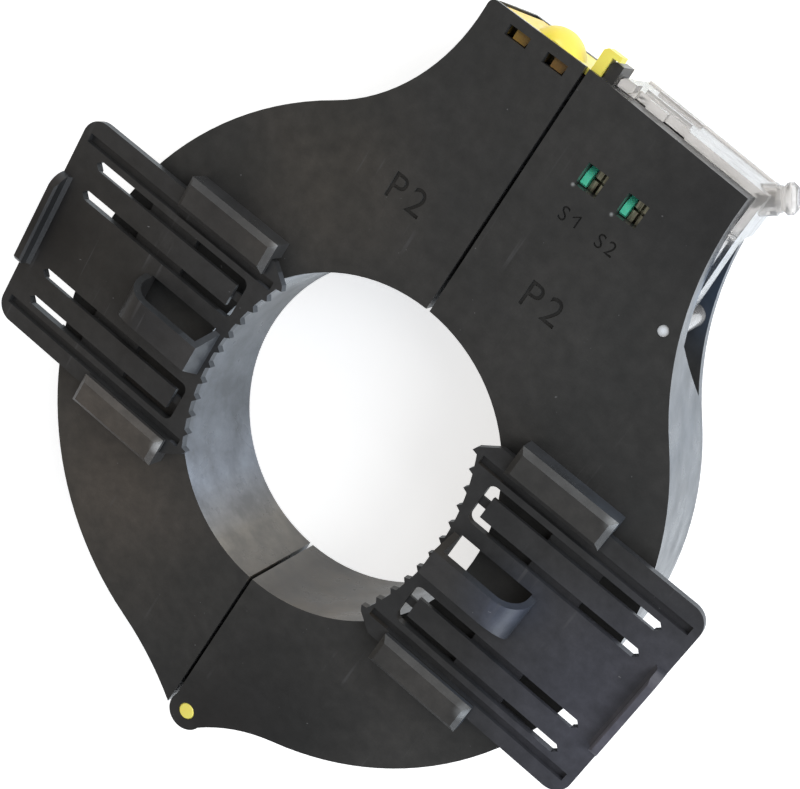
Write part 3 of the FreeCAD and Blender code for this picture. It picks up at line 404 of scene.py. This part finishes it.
def scratches(n, amount):
    lines = n.noise(1.0, 0.0, 0.5, ((0, 0, 34), (1.0, 0.02, 1.0)), 0.3)
    lines = n.ramp(lines, [(0.72, 0.0), (0.77, 1.0)])
    areas = n.ramp(n.noise(14, 2.0), [(0.56, 0.0), (0.68, 1.0)])
    return n.product(lines, areas, amount)


def moulded_plastic(name, low, high, rough, wall_rough, wall_share, scratch, dust, blobs=(),
                    wall_blobs=()):
    """Black moulded plastic with fine grain, scratches, dust and patches of painted light and
    shade, and shinier upright walls with painted light and painted reflection tints.
    """
    n = new_material(name)
    wall = n.upright()
    grain = n.noise(0.5, 2.0)
    colour = level_colour(n, low, high, grain, n.inverse(wall), blobs)
    side, shine = painted_wall_light(n, wall_blobs)
    # mottled share of the painted light and sheen on the walls
    wall_light_share = n.product(n.ramp(n.noise(11, 5.0, 0.65), [(0.35, 0.45), (0.65, 1.0)]), wall_share)
    colour = n.mix(n.product(wall, wall_light_share), colour, side)
    colour = n.mix(dust_specks(n, dust), colour, dust_colour)
    marks = scratches(n, scratch)
    colour = n.mix(marks, colour, scratch_colour)
    level_map = n.ramp(n.noise(6, 3.0), [(0.3, rough - 0.05), (0.7, rough + 0.06)])
    wall_map = n.ramp(n.noise(8, 4.0), [(0.3, wall_rough - 0.06), (0.7, wall_rough + 0.08)])
    return n.shader(Base_Color=colour, Roughness=n.mix(wall, level_map, wall_map),
                    Normal=n.bump(marks, 0.5, 0.03, n.bump(grain, 0.30, 0.05)),
                    Specular_Tint=n.mix(wall, (1.0, 1.0, 1.0), shine), Specular_IOR_Level=0.5)


def satin_finish(n, colour, rough_low, rough_high):
    """Soft gloss with slight flow marks, and a little light inside."""
    rough_map = n.ramp(n.noise(1.5, 2.0), [(0.3, rough_low), (0.7, rough_high)])
    return n.shader(Base_Color=colour, Roughness=rough_map,
                    Normal=n.bump(n.noise(0.6, 2.0), 0.12, 0.04),
                    Subsurface_Weight=0.08, Subsurface_Scale=0.6 * MM)


def satin_plastic(name, base, shade, rough):
    """Coloured plastic with a soft gloss and slight flow marks."""
    n = new_material(name)
    colour = n.mix(n.ramp(n.noise(7, 3.0), [(0.35, 0.0), (0.7, 1.0)]), base, shade)
    return satin_finish(n, colour, rough - 0.04, rough + 0.06)


def yellow_plastic():
    """Yellow plastic: the latch paler to the right as painted glare, with painted shade on its left
    end, its dark orange lugs and its dark recess.
    """
    n = new_material("yellow_plastic")
    on_pin = n.below("Y", pin_limit)
    on_latch = n.inverse(on_pin)
    # painted shade at the latch's left end and painted glare to its right
    colour = n.mix(on_pin, n.ramp(n.along("X", *latch_span), latch_yellow_shade_and_glare), pin_colour)
    # painted shade in the recess of the latch
    recess = n.product(n.below("X", recess_shade_limits[0]), n.below("Y", recess_shade_limits[1]),
                       n.above("Z", recess_shade_limits[2]), on_latch)
    colour = n.mix(recess, colour, recess_painted_shade)
    # painted shade on the lugs
    colour = n.mix(n.product(n.above("Z", lug_height), on_latch), colour, lug_painted_shade)
    colour = n.mix(n.ramp(n.noise(7, 3.0), [(0.35, 0.0), (0.7, 0.25)]), colour, yellow_shade)
    return satin_finish(n, colour, *yellow_rough)


def clear_plastic():
    """Clear plastic, slightly milky in the lid and clearer down the leg."""
    n = new_material("clear_plastic")
    pin_end = n.blob(*cover_pin_end)
    colour = n.ramp(n.noise(9, 3.0), [(0.3, clear_low), (0.7, clear_high)])
    colour = n.mix(pin_end, colour, cover_pin_colour)
    for centre, radius, blob_colour in cover_blobs:
        colour = n.mix(n.blob(centre, radius), colour, blob_colour)
    leg = n.product(n.inverse(n.along("Y", *leg_start)), n.along("Y", *leg_end))
    clear = n.ramp(leg, [(0.0, lid_clearness), (1.0, leg_clearness)])
    rough_map = n.ramp(n.noise(3, 3.0), [(0.3, 0.10), (0.7, 0.22)])
    return n.shader(Base_Color=colour, Roughness=rough_map, IOR=clear_ior,
                    Transmission_Weight=n.product(clear, n.inverse(pin_end)),
                    Normal=n.bump(n.noise(2.2, 2.0), 0.15, 0.05))


def metal(name, low, high, rough, size):
    """Metal with rolling marks."""
    n = new_material(name)
    streaks = n.noise(size, 4.0, 0.6, ((0, 0, 20), (1.0, 0.15, 1.0)))
    return n.shader(Base_Color=n.ramp(streaks, [(0.3, low), (0.7, high)]),
                    Roughness=n.ramp(streaks, [(0.3, rough - 0.06), (0.7, rough + 0.08)]),
                    Normal=n.bump(streaks, 0.15, 0.03), Metallic=1.0)


def copper_winding():
    """Enamelled copper wire laid side by side, with painted shade in the gaps between the turns."""
    n = new_material("copper_wire")
    wave = n.add("ShaderNodeTexWave", wave_type="BANDS", bands_direction="Y")
    n.fill(wave, Vector=n.place, Scale=wire_scale)
    wires = wave.outputs["Fac"]
    return n.shader(Base_Color=n.ramp(wires, [(0.1, wire_gap_shade), (0.7, wire_high)]), Roughness=0.3,
                    Normal=n.bump(wires, 0.6, 0.1), Metallic=0.8)


def floor_material():
    """Pale floor: white where lit, with the object's soft shadow, and clear from underneath."""
    n = new_material("floor_paper")
    rays = n.add("ShaderNodeLightPath").outputs
    glow = n.total(n.product(rays["Is Camera Ray"], camera_glow),
                   n.product(rays["Is Glossy Ray"], mirror_glow),
                   n.product(rays["Is Transmission Ray"], through_glow))
    straight = n.math("MAXIMUM", rays["Is Camera Ray"], rays["Is Transmission Ray"])
    material = n.shader(Base_Color=n.ramp(n.noise(120, 2.0), [(0.3, 0.90), (0.7, 0.92)]),
                        Roughness=0.9, Specular_IOR_Level=0.1, Emission_Strength=glow,
                        Emission_Color=n.mix(straight, mirror_tint, (1.0, 1.0, 1.0)))
    sides = n.add("ShaderNodeMixShader")
    n.join(n.add("ShaderNodeNewGeometry").outputs["Backfacing"], sides.inputs["Fac"])
    n.join(n.tree.nodes["Principled BSDF"].outputs["BSDF"], sides.inputs[1])
    n.join(n.add("ShaderNodeBsdfTransparent").outputs["BSDF"], sides.inputs[2])
    n.join(sides.outputs["Shader"], n.tree.nodes["Material Output"].inputs["Surface"])
    return material


materials = {
    "housing_plastic": moulded_plastic(
        "housing_plastic", (0.023, 0.0235, 0.023), (0.034, 0.033, 0.0315), rough=0.50,
        wall_rough=0.30, wall_share=1.0, scratch=0.3, dust=0.5, blobs=housing_painted_light_and_shade,
        wall_blobs=housing_wall_painted_light_and_shade),
    "bracket_plastic": moulded_plastic(
        "bracket_plastic", (0.023, 0.0235, 0.0245), (0.033, 0.033, 0.034), rough=0.44,
        wall_rough=0.40, wall_share=0.25, scratch=0.4, dust=0.6, blobs=bracket_painted_light_and_shade),
    "block_plastic": moulded_plastic(
        "block_plastic", (0.020, 0.023, 0.021), (0.034, 0.038, 0.034), rough=0.5,
        wall_rough=0.5, wall_share=0.3, scratch=0.2, dust=0.4),
    "bobbin_plastic": satin_plastic("bobbin_plastic", (0.55, 0.52, 0.45), (0.48, 0.45, 0.38), 0.5),
    "yellow_plastic": yellow_plastic(),
    "green_plastic": satin_plastic("green_plastic", (0.14, 0.90, 0.60), (0.10, 0.78, 0.48), 0.35),
    "clear_plastic": clear_plastic(),
    "core_iron": metal("core_iron", (0.22, 0.22, 0.23), (0.42, 0.42, 0.43), 0.45, 2.0),
    "clamp_metal": metal("clamp_metal", (0.07, 0.07, 0.05), (0.66, 0.64, 0.48), 0.4, 0.5),
    "spring_steel": metal("spring_steel", (0.45, 0.45, 0.47), (0.65, 0.65, 0.68), 0.28, 1.5),
    "copper_wire": copper_winding(),
}


def dress_nodes():
    """Gives every CAD node the material of its slot."""
    for row in frame["record"]["subparts"]:
        mesh = nodes[row["node"]].data
        mesh.materials.clear()
        mesh.materials.append(materials[row["material_slot"]])


def add_object(name, data):
    """Puts an object with this data into the scene."""
    placed = bpy.data.objects.new(name, data)
    bpy.context.scene.collection.objects.link(placed)
    return placed


# Lettering

def lettering_cutter(name, text, place, height, angle, top):
    """Solid letters that reach from above a face to the depth of the lettering."""
    curve = bpy.data.curves.new(name, "FONT")
    curve.body = text
    curve.size = 1.0
    curve.space_character = letter_spacing
    curve.resolution_u = 4
    source = add_object(name + "_text", curve)
    bpy.context.view_layer.update()
    curve.size = height * MM / source.dimensions.y
    curve.extrude = letter_depth * MM
    bpy.context.view_layer.update()
    graph = bpy.context.evaluated_depsgraph_get()
    mesh = bpy.data.meshes.new_from_object(source.evaluated_get(graph))
    bpy.data.objects.remove(source)
    mesh.transform(Matrix.Rotation(math.radians(angle), 4, "Z"))
    left, bottom = [min(v.co[k] for v in mesh.vertices) for k in range(2)]
    mesh.transform(Matrix.Translation((place[0] * MM - left, place[1] * MM - bottom, top)))
    cutter = add_object(name, mesh)
    cutter.hide_render = True
    cutter.hide_viewport = True
    return cutter


def cut_lettering():
    """Engraves the lettering into the front face, which is as high as the cable window is long."""
    top = frame["record"]["mounts"][0]["dims"]["length_mm"] * MM
    for name, (text, node, place, height, angle) in letterings.items():
        cutter = lettering_cutter(name, text, place, height, angle, top)
        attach(cutter, nodes[node]["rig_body"])
        cut = nodes[node].modifiers.new(name, "BOOLEAN")
        cut.operation = "DIFFERENCE"
        cut.solver = "EXACT"
        cut.object = cutter


# Stage

def add_floor():
    half = floor_size / 2
    low = -floor_drop * MM
    corners = [(-half, -half, low), (half, -half, low), (half, half, low), (-half, half, low)]
    mesh = bpy.data.meshes.new("floor")
    mesh.from_pydata(corners, [], [(0, 1, 2, 3)])
    mesh.materials.append(floor_material())
    floor = add_object("floor", mesh)


def add_lights():
    for name, (place, size, power, colour) in lights.items():
        light = bpy.data.lights.new(name, "AREA")
        light.shape = "DISK"
        light.size = size
        light.energy = power
        light.color = colour
        lamp = add_object(name, light)
        lamp.location = place
        aim = Vector(lights_aim) - Vector(place)
        lamp.rotation_euler = aim.to_track_quat("-Z", "Y").to_euler()


def add_world():
    """Soft studio surroundings, warmer on one side; straight to the camera they are white."""
    world = bpy.data.worlds.new("studio")
    n = Nodes(world, "Generated")
    seen = n.add("ShaderNodeLightPath").outputs["Is Camera Ray"]
    colour = n.ramp(n.spread(n.axis("X"), -1.0, 1.0), world_tints)
    n.fill(n.tree.nodes["Background"], Color=n.mix(seen, colour, (1.0, 1.0, 1.0)),
           Strength=n.spread(seen, 0.0, 1.0, world_strength, 1.0))
    bpy.context.scene.world = world


def add_camera():
    data = bpy.data.cameras.new("camera")
    data.sensor_width = sensor_width
    data.lens = focal_pixels / image_width * sensor_width
    data.shift_x = (image_width / 2 - axis_pixel[0]) / image_width
    data.shift_y = (axis_pixel[1] - image_height / 2) / image_width
    data.clip_start = camera_near
    camera = add_object("camera", data)
    camera.location = camera_place
    camera.rotation_euler = [math.radians(a) for a in camera_angles]
    bpy.context.scene.camera = camera
    bpy.context.scene.view_settings.view_transform = "Standard"


add_camera()
add_world()
add_lights()
add_floor()
dress_nodes()
cut_lettering()
